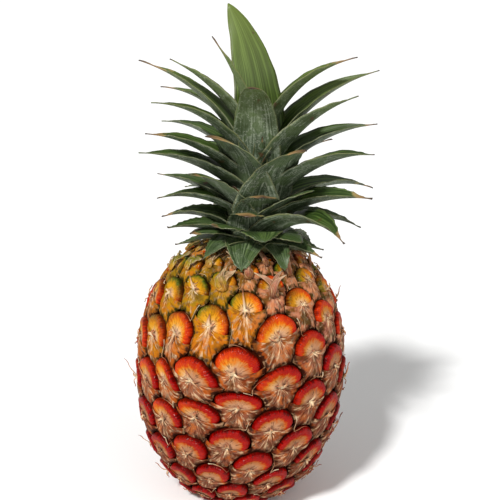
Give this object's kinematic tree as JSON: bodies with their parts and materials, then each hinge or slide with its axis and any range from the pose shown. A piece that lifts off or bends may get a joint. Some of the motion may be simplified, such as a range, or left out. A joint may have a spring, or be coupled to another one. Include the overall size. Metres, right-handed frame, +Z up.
{
  "type": "pineapple",
  "caption": "Whole ripe pineapple standing on its base, with raised hexagonal eyes, a leafy crown and a cut stalk end.",
  "frame": {"origin": "middle of the flat base, at the stalk's cut end", "axes": "+Z up the fruit's axis to the crown, -Y to the front, +X to the right"},
  "size_m": [0.1381, 0.1255, 0.2879],
  "materials": {
    "rind": "ripe skin of eyes, glossy orange-red rims with dry fibrous middles",
    "leaf": "dark green waxy leaf with a grey bloom below",
    "stalk": "cut fibrous stalk, dry and matt"
  },
  "bodies": {
    "root": {"fruit": "rind", "crown": "leaf", "stalk": "stalk"}
  },
  "joints": []
}
